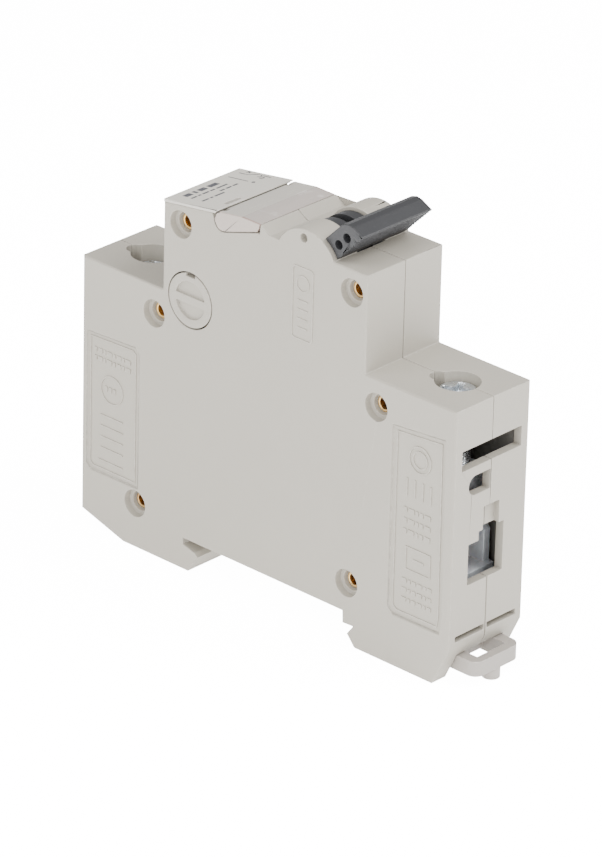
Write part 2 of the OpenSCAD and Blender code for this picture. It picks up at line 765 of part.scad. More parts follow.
module terminal_screw(side, head_z) {
  translate([side * screw_x, 0, 0]) difference() {
    union() {
      translate([0, 0, head_z - head_h]) cylinder(r = head_r, h = head_h - 0.4);
      translate([0, 0, head_z - 0.41]) cylinder(r1 = head_r, r2 = head_r - 0.5, h = 0.41);
      translate([0, 0, screw_tip_z]) cylinder(r = thread_r, h = head_z - head_h - screw_tip_z + 0.1);
    }
    for (a = [25, 115]) rotate(a) translate([-2.6, -0.45, head_z - 1.3]) cube([5.2, 0.9, 2]);
  }
}

module line_screw() {
  color("#b9bcbe") terminal_screw(-1, line_head_z);
}

module load_screw() {
  color("#b9bcbe") terminal_screw(1, load_head_z);
}

// Clamp cage: two plates and two side walls, which are cut back at the mouth
module terminal_cage(side) {
  wall_outline = [[-cage_l / 2, 0], [mouth_x, 0], [mouth_x, cheek_z - 1.5], [mouth_x - 1.3, cheek_z],
    [back_x, cheek_z], [back_x, cage_h], [-cage_l / 2, cage_h]];
  translate([side * screw_x, 0, cage_z]) difference() {
    union() {
      for (z = [0, cage_h - cage_wall])
        block([-cage_l / 2, -cage_w / 2, z], [cage_l / 2, cage_w / 2, z + cage_wall]);
      for (y = [-cage_w / 2, cage_w / 2 - cage_wall]) slab(y, y + cage_wall)
        polygon([for (p = wall_outline) [side * p[0], p[1]]]);
    }
    translate([0, 0, cage_h / 2]) cylinder(r = thread_r + running, h = cage_h);
  }
}

module line_cage() {
  color("#c2c5c7") terminal_cage(-1);
}

module load_cage() {
  color("#c2c5c7") terminal_cage(1);
}

// ---------- fixed contact, coil and arc chute ----------

module fixed_contact() {
  x = contact_x + contact_gap + tip_t;
  color("#b87a4b") block([x, -3, 21.3], [x + holder_t, 3, 28.6]);
}

module fixed_tip() {
  x = contact_x + contact_gap;
  color("#cfd1d0") long_bar(x, x + tip_t, 0, contact_z, tip_r);
}

module coil_bobbin() {
  color("#e8e4da") difference() {
    union() {
      long_bar(coil_x[0], coil_x[1], 0, coil_z, tube_r);
      long_bar(coil_x[0], coil_x[0] + flange_t, 0, coil_z, bobbin_r);
      long_bar(coil_x[1] - flange_t, coil_x[1], 0, coil_z, bobbin_r);
    }
    long_bar(coil_x[0] - cut, coil_x[1] + cut, 0, coil_z, bore_r);
    long_bar(coil_x[0] - cut, coil_x[1] + cut, 0, coil_z - coil_bend_r, coil_wire_r + 0.15);
  }
}

module coil_winding() {
  z = coil_z - coil_bend_r;
  x0 = coil_x[0] + 1.7;
  length = coil_x[1] - coil_x[0] - 3.4;
  turns = coil_points([x0, 0, coil_z], 0, coil_bend_r, length, coil_turns, 24, 270);
  inner = [for (i = [1:len(turns) - 2]) turns[i]];
  color("#b5652f") wire(concat(
    [[contact_x + contact_gap + tip_t + holder_t, 0, z], [x0 - 0.8, 0, z]], inner,
    [[x0 + length + 0.8, 0, z], [load_tab_x, 0, z]]), coil_wire_r);
}

module coil_yoke() {
  x0 = coil_x[0] - 1.2;
  x1 = coil_x[1] + 1;
  top = coil_z + bobbin_r + 0.1;
  color("#8e9296") difference() {
    union() {
      block([x0, -4.6, coil_z - 3], [coil_x[0], 4.6, top + 1.1]);
      block([coil_x[1], -4.6, coil_z - 3], [x1, 4.6, top + 1.1]);
      block([x0, -4.6, top], [x1, 4.6, top + 1.1]);
    }
    long_bar(x0 - cut, coil_x[0] + cut, 0, coil_z, 1.6);
    long_bar(coil_x[1] - cut, x1 + cut, 0, coil_z, bore_r + 0.1);
  }
}

module fixed_core() {
  color("#9b9fa3") difference() {
    union() {
      long_bar(coil_x[0], 14, 0, coil_z, bore_r - 0.02);
      long_bar(coil_x[0] - 1.6, coil_x[0] + 0.1, 0, coil_z, 1.58);
    }
    long_bar(coil_x[0] - 3, 15, 0, coil_z, striker_r + running);
  }
}

module plunger() {
  color("#8e9296") difference() {
    long_bar(16.2, coil_x[1] + 0.6, 0, coil_z, bore_r - 0.08);
    long_bar(16, 18.2, 0, coil_z, striker_r);
  }
}

module striker_pin() {
  color("#cfd1d0") long_bar(8.8, 18.2, 0, coil_z, striker_r);
}

module plunger_spring() {
  color("#b4b7ba") wire(coil_points([14.2, 0, coil_z], 0, 1.6, 1.8, 3, 14), 0.18, 6);
}

module upper_runner() {
  x = contact_x + contact_gap + tip_t;
  color("#b87a4b") block([x, -5, 20.4], [23.4, 5, 21.3]);
}

module lower_runner() {
  color("#b87a4b") block([-3, -6, 7.7], [24.6, 6, 8.5]);
}

module splitter_plates() {
  color("#8e9296") for (i = [0:plate_count - 1])
    translate([0, 0, plates_z + plate_pitch * i]) linear_extrude(splitter_t) difference() {
      translate([chute_x[0] + 0.3, -6.2]) square([chute_x[1] - chute_x[0] - 0.6, 12.4]);
      polygon([[chute_x[0], -3.2], [chute_x[0] + 5, -0.6], [chute_x[0] + 5, 0.6],
        [chute_x[0], 3.2]]);
    }
}

module chute_sheets() {
  color("#c9b68c") for (s = [-1, 1])
    block([chute_x[0], s > 0 ? 6.25 : -6.25 - sheet_t, chute_z[0]],
      [chute_x[1], s > 0 ? 6.25 + sheet_t : -6.25, chute_z[1]]);
}

module vent_grid() {
  color("#3a3a3c") difference() {
    block([in_x - 0.9, -in_y + 0.1, wall], [in_x, in_y - 0.1, 6.9]);
    for (i = [-4:4]) block([in_x - 2, i * 1.45 - 0.4, 2.2], [in_x + 1, i * 1.45 + 0.4, 6.2]);
  }
}

// ---------- rail clip ----------

module clip_plan() {
  difference() {
    union() {
      translate([clip_x0 + 1.4, -clip_w / 2]) square([clip_x1 - loop_r - clip_x0 - 1.4, clip_w]);
      translate([clip_x1 - loop_r - 0.1, -clip_w / 2 + loop_r]) square([loop_r + 0.1, clip_w - 2 * loop_r]);
      for (s = [-1, 1]) translate([clip_x1 - loop_r, s * (clip_w / 2 - loop_r)]) circle(loop_r);
    }
    translate([window_x0, -window_w / 2]) square([clip_x1 - loop_bar - window_x0, window_w]);
    translate([clip_slot_x[0], -clip_slot_w / 2]) square([clip_slot_x[1] - clip_slot_x[0], clip_slot_w]);
  }
}

module din_clip() {
  color("#cfc6bf") {
    translate([0, 0, clip_z0]) linear_extrude(clip_t) clip_plan();
    // bevelled nose that reaches under the rail flange
    slab(-clip_w / 2, clip_w / 2) polygon([[clip_x0, clip_z1], [clip_x0 + 1.5, clip_z1],
      [clip_x0 + 1.5, clip_z0], [clip_x0 + 1, clip_z0], [clip_x0, clip_z1 - 0.8]]);
    translate([clip_x1 - loop_bar + 0.1, 0, foot_z]) cylinder(r = 1.5, h = clip_z0 - foot_z + 0.1);
  }
}

module clip_spring() {
  color("#b4b7ba") wire(coil_points([clip_slot_x[0] + 0.5, 0, (clip_z0 + clip_z1) / 2 - 0.1], 0, 0.95,
    stop_x[0] - clip_slot_x[0] - 0.9, 8, 12), 0.2, 6);
}

near_shell();
far_shell();
rivets();
front_plate();
label_card();
label_window();
calibration_plug();
calibration_cam();
toggle();
toggle_axle();
toggle_spring();
spring_anchor();
link();
contact_carrier();
carrier_pivot_pin();
contact_arm();
moving_tip();
contact_spring();
latch();
latch_pin();
trip_lever();
trip_lever_pin();
trip_spring();
bimetal_strip();
bimetal_bracket();
braid();
line_plate();
load_plate();
line_screw();
load_screw();
line_cage();
load_cage();
fixed_contact();
fixed_tip();
coil_bobbin();
coil_winding();
coil_yoke();
fixed_core();
plunger();
striker_pin();
plunger_spring();
upper_runner();
lower_runner();
splitter_plates();
chute_sheets();
vent_grid();
din_clip();
clip_spring();
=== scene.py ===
import bmesh
import bpy
import json
import math
from mathutils import Matrix, Vector


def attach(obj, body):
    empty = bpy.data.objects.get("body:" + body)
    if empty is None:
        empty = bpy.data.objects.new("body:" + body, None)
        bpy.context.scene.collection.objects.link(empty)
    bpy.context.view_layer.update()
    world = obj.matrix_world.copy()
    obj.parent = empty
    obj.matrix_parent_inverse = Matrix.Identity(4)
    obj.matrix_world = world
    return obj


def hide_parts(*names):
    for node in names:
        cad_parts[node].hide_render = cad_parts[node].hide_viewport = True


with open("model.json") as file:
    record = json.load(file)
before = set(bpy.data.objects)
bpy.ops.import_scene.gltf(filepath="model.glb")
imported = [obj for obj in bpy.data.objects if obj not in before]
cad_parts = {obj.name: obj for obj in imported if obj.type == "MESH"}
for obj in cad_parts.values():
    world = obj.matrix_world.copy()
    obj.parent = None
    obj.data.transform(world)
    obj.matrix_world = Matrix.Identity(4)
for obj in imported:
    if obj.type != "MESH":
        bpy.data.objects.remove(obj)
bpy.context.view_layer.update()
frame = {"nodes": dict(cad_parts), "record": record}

MM = 0.001
scene = bpy.context.scene

# Places on the breaker that more than one piece needs, in millimetres
HALF_W = 8.8
PANEL_DEPTH = 0.3
SCREW_X = 33.8
FOOT_Z = -5.8
CREASE_X = -5.8

# How strongly the floor glows: as a light on the object, and as the pale ground that is seen
FLOOR_LIGHT = 1.5
FLOOR_SEEN = 14.0


# ---------- camera, light and floor ----------

def look_from(azimuth, elevation, roll, target, aside, lift, distance, lens):
    """A long lens on the load end, from above."""
    a, e, t = (math.radians(v) for v in (azimuth, elevation, roll))
    level = Vector((math.cos(a), math.sin(a), 0))
    back = Vector((math.sin(a) * math.cos(e), -math.cos(a) * math.cos(e), math.sin(e)))
    rise = back.cross(level)
    right = math.cos(t) * level + math.sin(t) * rise
    up = -math.sin(t) * level + math.cos(t) * rise
    place = (Vector(target) + aside * right + lift * up + distance * back) * MM
    data = bpy.data.cameras.new("camera")
    data.lens = lens
    data.sensor_width = 36
    data.clip_start = 0.05
    camera = bpy.data.objects.new("camera", data)
    scene.collection.objects.link(camera)
    camera.matrix_world = Matrix([(right[i], up[i], back[i], place[i]) for i in range(3)] + [(0, 0, 0, 1)])
    scene.camera = camera


def soft_lamp(name, place, size, power):
    data = bpy.data.lights.new(name, "AREA")
    data.shape = "SQUARE"
    data.size = size
    data.energy = power
    lamp = bpy.data.objects.new(name, data)
    lamp.location = place
    lamp.rotation_euler = (-Vector(place)).to_track_quat("-Z", "Y").to_euler()
    scene.collection.objects.link(lamp)


def studio():
    look_from(42.75, 26.02, 1.39, target=(0, 0, 24.2), aside=0.18, lift=-0.85, distance=1036.1, lens=267.5)
    soft_lamp("key", (-0.1, -0.35, 0.8), 0.6, 5.0)
    soft_lamp("end_fill", (0.75, -0.25, 0.3), 0.6, 2.4)
    soft_lamp("side_fill", (0.25, -0.8, 0.35), 0.5, 7.2)
    soft_lamp("crown", (0.3, 0.15, 0.42), 0.25, 3.4)
    world = bpy.data.worlds.new("studio")
    world.use_nodes = True
    world.node_tree.nodes["Background"].inputs["Color"].default_value = (1, 1, 1, 1)
    world.node_tree.nodes["Background"].inputs["Strength"].default_value = 0.75
    scene.world = world


# ---------- shader groups ----------

def node_group(name, inputs, outputs):
    """A shader group with float or vector sockets; returns the tree with its two end nodes."""
    tree = bpy.data.node_groups.new(name, "ShaderNodeTree")
    for label, value in inputs.items():
        kind = "NodeSocketVector" if label == "Vector" else "NodeSocketFloat"
        socket = tree.interface.new_socket(label, in_out="INPUT", socket_type=kind)
        if value is not None:
            socket.default_value = value
    for label in outputs:
        tree.interface.new_socket(label, in_out="OUTPUT", socket_type="NodeSocketFloat")
    return tree, tree.nodes.new("NodeGroupInput"), tree.nodes.new("NodeGroupOutput")


def add(tree, kind, **values):
    node = tree.nodes.new(kind)
    for key, value in values.items():
        if hasattr(node, key):
            setattr(node, key, value)
        else:
            node.inputs[key.replace("_", " ")].default_value = value
    return node


def maths(tree, operation, a, b=None, clamp=False):
    node = tree.nodes.new("ShaderNodeMath")
    node.operation = operation
    node.use_clamp = clamp
    for i, value in enumerate((a, b)):
        if value is None:
            continue
        if isinstance(value, (int, float)):
            node.inputs[i].default_value = value
        else:
            tree.links.new(value, node.inputs[i])
    return node.outputs[0]


def spread(tree, value, low, high, to_low=0.0, to_high=1.0):
    node = tree.nodes.new("ShaderNodeMapRange")
    node.inputs["From Min"].default_value = low
    node.inputs["From Max"].default_value = high
    node.inputs["To Min"].default_value = to_low
    node.inputs["To Max"].default_value = to_high
    tree.links.new(value, node.inputs["Value"])
    return node.outputs["Result"]


def grain_group():
    """Fine moulded grain, with a slow unevenness under it."""
    tree, head, tail = node_group("moulded_grain", {"Vector": None, "Grain": 2600.0, "Mottle": 60.0},
                                  ["Height", "Tone"])
    fine = add(tree, "ShaderNodeTexNoise", Detail=2.0, Roughness=0.55)
    slow = add(tree, "ShaderNodeTexNoise", Detail=4.0, Roughness=0.6)
    tree.links.new(head.outputs["Vector"], fine.inputs["Vector"])
    tree.links.new(head.outputs["Grain"], fine.inputs["Scale"])
    tree.links.new(head.outputs["Vector"], slow.inputs["Vector"])
    tree.links.new(head.outputs["Mottle"], slow.inputs["Scale"])
    tree.links.new(fine.outputs["Fac"], tail.inputs["Height"])
    tone = maths(tree, "ADD", maths(tree, "MULTIPLY", slow.outputs["Fac"], 0.75),
                 maths(tree, "MULTIPLY", fine.outputs["Fac"], 0.25))
    tree.links.new(tone, tail.inputs["Tone"])
    return tree


def wear_group():
    """How much an edge is rubbed: the rounded normal's turn from the true one, broken up by noise."""
    tree, head, tail = node_group("edge_wear", {"Vector": None, "Radius": 0.0003, "Breakup": 900.0}, ["Mask"])
    rounded = add(tree, "ShaderNodeBevel", samples=4)
    true = tree.nodes.new("ShaderNodeNewGeometry")
    dot = add(tree, "ShaderNodeVectorMath", operation="DOT_PRODUCT")
    noise = add(tree, "ShaderNodeTexNoise", Detail=5.0, Roughness=0.7)
    tree.links.new(head.outputs["Radius"], rounded.inputs["Radius"])
    tree.links.new(rounded.outputs["Normal"], dot.inputs[0])
    tree.links.new(true.outputs["Normal"], dot.inputs[1])
    tree.links.new(head.outputs["Vector"], noise.inputs["Vector"])
    tree.links.new(head.outputs["Breakup"], noise.inputs["Scale"])
    turn = spread(tree, dot.outputs["Value"], 0.995, 0.86)
    patch = spread(tree, noise.outputs["Fac"], 0.42, 0.62)
    tree.links.new(maths(tree, "MULTIPLY", turn, patch), tail.inputs["Mask"])
    return tree


def scuff_group():
    """Short fine scratches in two directions and small specks."""
    tree, head, tail = node_group("scuffs", {"Vector": None, "Scale": 400.0, "Amount": 0.5}, ["Mask"])
    total = None
    for turn, stretch in ((0.5, (1, 1, 14)), (1.9, (12, 1, 1))):
        place = add(tree, "ShaderNodeMapping")
        place.inputs["Rotation"].default_value = (turn, 0.4 * turn, 0.7)
        place.inputs["Scale"].default_value = stretch
        noise = add(tree, "ShaderNodeTexNoise", Detail=3.0, Roughness=0.5)
        tree.links.new(head.outputs["Vector"], place.inputs["Vector"])
        tree.links.new(place.outputs["Vector"], noise.inputs["Vector"])
        tree.links.new(head.outputs["Scale"], noise.inputs["Scale"])
        line = spread(tree, noise.outputs["Fac"], 0.66, 0.74)
        total = line if total is None else maths(tree, "MAXIMUM", total, line)
    tree.links.new(maths(tree, "MULTIPLY", total, head.outputs["Amount"]), tail.inputs["Mask"])
    return tree


GRAIN, WEAR, SCUFF = grain_group(), wear_group(), scuff_group()


def use(tree, group, vector, **values):
    node = tree.nodes.new("ShaderNodeGroup")
    node.node_tree = group
    tree.links.new(vector, node.inputs["Vector"])
    for label, value in values.items():
        node.inputs[label].default_value = value
    return node


def mixed(tree, factor, a, b):
    """Colour a, going to colour b by the factor."""
    node = tree.nodes.new("ShaderNodeMix")
    node.data_type = "RGBA"
    sockets = {s.identifier: s for s in node.inputs}
    tree.links.new(factor, sockets["Factor_Float"])
    for label, value in (("A_Color", a), ("B_Color", b)):
        if isinstance(value, tuple):
            sockets[label].default_value = (*value, 1)
        else:
            tree.links.new(value, sockets[label])
    return {s.identifier: s for s in node.outputs}["Result_Color"]


def blank(name):
    material = bpy.data.materials.new(name)
    material.use_nodes = True
    tree = material.node_tree
    shader = tree.nodes["Principled BSDF"]
    place = tree.nodes.new("ShaderNodeTexCoord").outputs["Object"]
    return material, tree, shader, place


def bumped(tree, shader, height, distance, strength=0.5):
    bump = add(tree, "ShaderNodeBump", Strength=strength, Distance=distance)
    tree.links.new(height, bump.inputs["Height"])
    tree.links.new(bump.outputs["Normal"], shader.inputs["Normal"])


def shade(colour, factor):
    return tuple(min(1, c * factor) for c in colour)


def plastic(name, colour, rough=0.5, grain=2600.0, bump=0.00003, uneven=0.05, worn=None, wear=0.0003,
            scuff=0.0, scuff_colour=None, coat=0.0, strength=0.35):
    """Moulded plastic: grain in the surface, uneven tone, rubbed edges and light scuffs."""
    material, tree, shader, place = blank(name)
    skin = use(tree, GRAIN, place, Grain=grain)
    tone = spread(tree, skin.outputs["Tone"], 0.35, 0.65)
    base = mixed(tree, tone, shade(colour, 1 - uneven), shade(colour, 1 + uneven))
    height = skin.outputs["Height"]
    if worn:
        rub = use(tree, WEAR, place, Radius=wear)
        base = mixed(tree, rub.outputs["Mask"], base, worn)
    if scuff:
        marks = use(tree, SCUFF, place, Amount=scuff)
        base = mixed(tree, marks.outputs["Mask"], base, scuff_colour or worn)
    tree.links.new(base, shader.inputs["Base Color"])
    tree.links.new(spread(tree, skin.outputs["Tone"], 0.3, 0.7, rough - 0.06, rough + 0.06),
                   shader.inputs["Roughness"])
    shader.inputs["Coat Weight"].default_value = coat
    shader.inputs["Coat Roughness"].default_value = 0.25
    bumped(tree, shader, height, bump, strength)
    return material


def metal(name, colour, dull, rough=0.3, stretch=(1, 1, 1), scale=900.0, spangle=0.0, bump=0.00001,
          plate=1.0):
    """Metal: brushed or plated streaks, dull patches, and a faint crystal pattern where it is plated."""
    material, tree, shader, place = blank(name)
    turned = add(tree, "ShaderNodeMapping")
    turned.inputs["Scale"].default_value = stretch
    tree.links.new(place, turned.inputs["Vector"])
    streak = add(tree, "ShaderNodeTexNoise", Scale=scale, Detail=4.0, Roughness=0.6)
    tree.links.new(turned.outputs["Vector"], streak.inputs["Vector"])
    patch = add(tree, "ShaderNodeTexNoise", Scale=140.0, Detail=5.0, Roughness=0.65)
    tree.links.new(place, patch.inputs["Vector"])
    tarnish = spread(tree, patch.outputs["Fac"], 0.45, 0.7)
    base = mixed(tree, tarnish, colour, dull)
    roughness = spread(tree, streak.outputs["Fac"], 0.3, 0.7, rough - 0.08, rough + 0.1)
    height = streak.outputs["Fac"]
    if spangle:
        cells = add(tree, "ShaderNodeTexVoronoi", Scale=650.0)
        tree.links.new(place, cells.inputs["Vector"])
        grey = tree.nodes.new("ShaderNodeSeparateColor")
        tree.links.new(cells.outputs["Color"], grey.inputs["Color"])
        base = mixed(tree, maths(tree, "MULTIPLY", grey.outputs["Red"], spangle), base, shade(colour, 0.72))
        roughness = maths(tree, "ADD", roughness, maths(tree, "MULTIPLY", grey.outputs["Green"], 0.08))
    tree.links.new(base, shader.inputs["Base Color"])
    tree.links.new(roughness, shader.inputs["Roughness"])
    shader.inputs["Metallic"].default_value = plate
    bumped(tree, shader, height, bump, 0.4)
    return material


def clear_window(name, tint, edge, clear, rough):
    """Clear, slightly pink plastic with faint handling marks and a deeper tone along its side edges."""
    material, tree, shader, place = blank(name)
    skin = use(tree, GRAIN, place, Grain=700.0, Mottle=45.0)
    marks = use(tree, SCUFF, place, Scale=260.0, Amount=0.25)
    apart = tree.nodes.new("ShaderNodeSeparateXYZ")
    tree.links.new(place, apart.inputs["Vector"])
    rim = spread(tree, maths(tree, "ABSOLUTE", apart.outputs["Y"]), 8.3 * MM, 8.6 * MM)
    base = mixed(tree, skin.outputs["Tone"], shade(tint, 0.96), shade(tint, 1.04))
    base = mixed(tree, marks.outputs["Mask"], base, (0.90, 0.88, 0.86))
    tree.links.new(mixed(tree, rim, base, edge), shader.inputs["Base Color"])
    tree.links.new(spread(tree, skin.outputs["Tone"], 0.3, 0.7, rough - 0.06, rough + 0.08),
                   shader.inputs["Roughness"])
    shader.inputs["Transmission Weight"].default_value = clear
    shader.inputs["IOR"].default_value = 1.49
    bumped(tree, shader, skin.outputs["Height"], 0.00001, 0.2)
    return material


def card_paper(name):
    material, tree, shader, place = blank(name)
    fibres = add(tree, "ShaderNodeTexNoise", Scale=1800.0, Detail=6.0, Roughness=0.7, Distortion=1.5)
    tree.links.new(place, fibres.inputs["Vector"])
    tree.links.new(mixed(tree, fibres.outputs["Fac"], (0.70, 0.66, 0.60), (0.84, 0.81, 0.77)),
                   shader.inputs["Base Color"])
    shader.inputs["Roughness"].default_value = 0.85
    bumped(tree, shader, fibres.outputs["Fac"], 0.00003, 0.5)
    return material


def printed_ink(name):
    material, tree, shader, place = blank(name)
    speck = add(tree, "ShaderNodeTexNoise", Scale=2400.0, Detail=3.0, Roughness=0.6)
    tree.links.new(place, speck.inputs["Vector"])
    thin = spread(tree, speck.outputs["Fac"], 0.58, 0.7)
    tree.links.new(mixed(tree, thin, (0.05, 0.05, 0.06), (0.22, 0.21, 0.21)), shader.inputs["Base Color"])
    shader.inputs["Roughness"].default_value = 0.55
    bumped(tree, shader, speck.outputs["Fac"], 0.00001, 0.3)
    return material


def fibre_board(name):
    material, tree, shader, place = blank(name)
    turned = add(tree, "ShaderNodeMapping")
    turned.inputs["Scale"].default_value = (1, 1, 9)
    tree.links.new(place, turned.inputs["Vector"])
    strands = add(tree, "ShaderNodeTexNoise", Scale=500.0, Detail=6.0, Roughness=0.7)
    tree.links.new(turned.outputs["Vector"], strands.inputs["Vector"])
    tree.links.new(mixed(tree, strands.outputs["Fac"], (0.44, 0.33, 0.18), (0.66, 0.54, 0.34)),
                   shader.inputs["Base Color"])
    shader.inputs["Roughness"].default_value = 0.75
    bumped(tree, shader, strands.outputs["Fac"], 0.00004, 0.5)
    return material


HOUSING = (0.318, 0.296, 0.252)
MATERIALS = {
    "housing_grey": plastic("housing_grey", HOUSING, rough=0.52, uneven=0.025, worn=(0.43, 0.405, 0.36),
                            scuff=0.08, scuff_colour=(0.42, 0.40, 0.36)),
    "label_grey": plastic("label_grey", (0.47, 0.448, 0.40), rough=0.42, uneven=0.02,
                          worn=(0.58, 0.55, 0.51), scuff=0.12, scuff_colour=(0.58, 0.56, 0.52)),
    # a darker copy of the housing plastic: painted shade for the inside of the terminal chambers
    "housing_painted_shade": plastic("housing_painted_shade", (0.13, 0.122, 0.11), rough=0.6, uneven=0.1,
                              worn=(0.18, 0.17, 0.155)),
    "card": card_paper("card"),
    "clear_pink": clear_window("clear_pink", (0.49, 0.435, 0.395), (0.39, 0.27, 0.23), 0.3, 0.2),
    "clear_frame": clear_window("clear_frame", (0.42, 0.395, 0.35), (0.42, 0.365, 0.32), 0.12, 0.34),
    "toggle_grey": plastic("toggle_grey", (0.0165, 0.017, 0.019), rough=0.5, grain=3200.0, uneven=0.1,
                           worn=(0.06, 0.06, 0.064), wear=0.00012, scuff=0.08,
                           scuff_colour=(0.07, 0.07, 0.075)),
    "clip_grey": plastic("clip_grey", (0.295, 0.27, 0.243), rough=0.44, uneven=0.03,
                         worn=(0.52, 0.48, 0.45), scuff=0.1, scuff_colour=(0.52, 0.49, 0.46)),
    "mechanism_black": plastic("mechanism_black", (0.025, 0.025, 0.028), rough=0.4, uneven=0.2,
                               worn=(0.08, 0.08, 0.08)),
    "bobbin_cream": plastic("bobbin_cream", (0.70, 0.66, 0.56), rough=0.4, uneven=0.05,
                            worn=(0.78, 0.75, 0.68)),
    "brass": metal("brass", (0.72, 0.50, 0.22), (0.42, 0.26, 0.12), rough=0.3, scale=700.0),
    "zinc_steel": metal("zinc_steel", (0.80, 0.84, 0.88), (0.66, 0.70, 0.74), rough=0.4, spangle=0.3,
                        plate=0.65),
    "screw_zinc": metal("screw_zinc", (0.70, 0.73, 0.76), (0.52, 0.55, 0.58), rough=0.24, spangle=0.2),
    "steel": metal("steel", (0.50, 0.50, 0.51), (0.34, 0.33, 0.32), rough=0.34, stretch=(1, 12, 1)),
    "copper": metal("copper", (0.68, 0.33, 0.18), (0.40, 0.19, 0.11), rough=0.33, scale=800.0),
    "silver": metal("silver", (0.80, 0.80, 0.78), (0.62, 0.61, 0.59), rough=0.28, scale=1500.0),
    "fibre": fibre_board("fibre"),
    "ink": printed_ink("ink"),
}


# ---------- mesh helpers ----------

def as_object(name, mesh, material, smooth=35):
    """A plain object at the origin, smooth across gentle edges."""
    mesh.materials.clear()
    mesh.materials.append(MATERIALS[material])
    mesh.polygons.foreach_set("use_smooth", [True] * len(mesh.polygons))
    mesh.set_sharp_from_angle(angle=math.radians(smooth))
    piece = bpy.data.objects.new(name, mesh)
    scene.collection.objects.link(piece)
    return piece


def bake_modifiers(piece):
    """Replaces a piece's mesh by what its modifiers make of it."""
    made = bpy.data.meshes.new_from_object(piece.evaluated_get(bpy.context.evaluated_depsgraph_get()))
    old = piece.data
    piece.modifiers.clear()
    piece.data = made
    bpy.data.meshes.remove(old)


def refill(mesh, flats):
    """Meshes the large flat sides again: each is emptied up to its rim and filled from it."""
    bm = bmesh.new()
    bm.from_mesh(mesh)
    for y in flats:
        inside = {f for f in bm.faces if abs(f.normal.y) > 0.9995
                  and all(abs(v.co.y / MM - y) < 0.004 for v in f.verts)}
        rim = {e for f in inside for e in f.edges if sum(other in inside for other in e.link_faces) == 1}
        if not rim:
            continue
        bmesh.ops.delete(bm, geom=list(inside), context="FACES_KEEP_BOUNDARY")
        bmesh.ops.triangle_fill(bm, edges=list(rim), use_beauty=True, normal=(0, math.copysign(1, y), 0))
    bmesh.ops.recalc_face_normals(bm, faces=bm.faces)
    left = sum(len(e.link_faces) != 2 for e in bm.edges)
    print("refilled", mesh.name, "open edges", left)
    bm.to_mesh(mesh)
    bm.free()


def skin(node, material, edge, segments=2, heavy=None, body="housing", angle=28, flats=(), shift=None,
         clamp=False):
    """A copy of a CAD node with its edges rounded: edge in mm, times what heavy() gives for an edge."""
    mesh = frame["nodes"][node].data.copy()
    bm = bmesh.new()
    bm.from_mesh(mesh)
    bmesh.ops.remove_doubles(bm, verts=bm.verts, dist=2e-6)
    bmesh.ops.dissolve_limit(bm, angle_limit=math.radians(0.7), verts=bm.verts, edges=bm.edges)
    bmesh.ops.triangulate(bm, faces=bm.faces, quad_method="BEAUTY", ngon_method="BEAUTY")
    if shift:
        for v in bm.verts:
            v.co = shift(v.co / MM) * MM
    weights = bm.edges.layers.float.new("bevel_weight_edge")
    widest = 1.0
    for e in bm.edges:
        if len(e.link_faces) != 2 or e.calc_face_angle(0) < math.radians(angle):
            continue
        middle = (e.verts[0].co + e.verts[1].co) / 2 / MM
        along = (e.verts[1].co - e.verts[0].co).normalized()
        e[weights] = heavy(middle, along, e.calc_length() / MM) if heavy else 1.0
        widest = max(widest, e[weights])
    for e in bm.edges:
        e[weights] /= widest
    bm.to_mesh(mesh)
    bm.free()
    piece = as_object(node + "_skin", mesh, material)
    bevel = piece.modifiers.new("round", "BEVEL")
    bevel.limit_method = "WEIGHT"
    bevel.width = edge * widest * MM
    bevel.segments = segments
    bevel.use_clamp_overlap = clamp
    bevel.miter_outer = "MITER_ARC"
    bake_modifiers(piece)
    if flats:
        refill(piece.data, flats)
    normals = piece.modifiers.new("even", "WEIGHTED_NORMAL")
    normals.keep_sharp = True
    bake_modifiers(piece)
    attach(piece, body)
    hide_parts(node)
    return piece


studio()


def housing_edges(middle, along, length):
    """Rounder on the upright outer edges, crisp in the small openings."""
    x, y, z = middle
    upright = abs(along.z) > 0.9
    outer = abs(abs(y) - HALF_W) < 0.02
    corner = abs(abs(x) - 41.5) < 0.05 or abs(x + 23) < 0.05 or abs(x - 22) < 0.05
    if outer and upright and length > 6 and corner:
        return 5.0
    if outer and length > 4:
        return 2.2
    if length > 10:
        return 1.6
    return 0.7


def toggle_edges(middle, along, length):
    """Rounded along the grip, and nearly crisp on the short edges round its two holes."""
    return 1.0 if length > 0.7 else 0.3


SEAM = 0.06


def near_parted(point):
    """The two halves of the housing stand a hair apart at the parting plane."""
    return Vector((point.x, -SEAM if abs(point.y) < 0.001 else point.y, point.z))


def far_parted(point):
    return Vector((point.x, SEAM if abs(point.y) < 0.001 else point.y, point.z))


skin("near_shell", "housing_grey", 0.14, heavy=housing_edges,
     flats=(-HALF_W, PANEL_DEPTH - HALF_W), shift=near_parted)
skin("far_shell", "housing_grey", 0.14, heavy=housing_edges,
     flats=(HALF_W, HALF_W - PANEL_DEPTH), shift=far_parted)
skin("front_plate", "label_grey", 0.12)
skin("toggle", "toggle_grey", 0.12, heavy=toggle_edges, body="toggle")
skin("din_clip", "clip_grey", 0.25, body="rail_clip", clamp=True)
skin("calibration_plug", "housing_grey", 0.1)
skin("line_cage", "zinc_steel", 0.2, body="line_cage")
skin("load_cage", "zinc_steel", 0.2, body="load_cage")

for half in ("near_shell_skin", "far_shell_skin"):
    # the faces inside the two terminal chambers take a duller, darker copy of the housing plastic; the
    # darkness is painted shade for these deep recesses
    shell = bpy.data.objects[half]
    shell.data.materials.append(MATERIALS["housing_painted_shade"])
    for polygon in shell.data.polygons:
        x, y, z = polygon.center / MM
        if 27.9 < abs(x) < 39.95 and 8.1 < z < 37.45 and abs(y) < 7.25:
            polygon.material_index = 1

window = skin("label_window", "clear_pink", 0.12, body="window")
window.data.materials.append(MATERIALS["clear_frame"])
for polygon in window.data.polygons:
    if polygon.center.x < CREASE_X * MM or abs(polygon.normal.y) > 0.7:
        polygon.material_index = 1


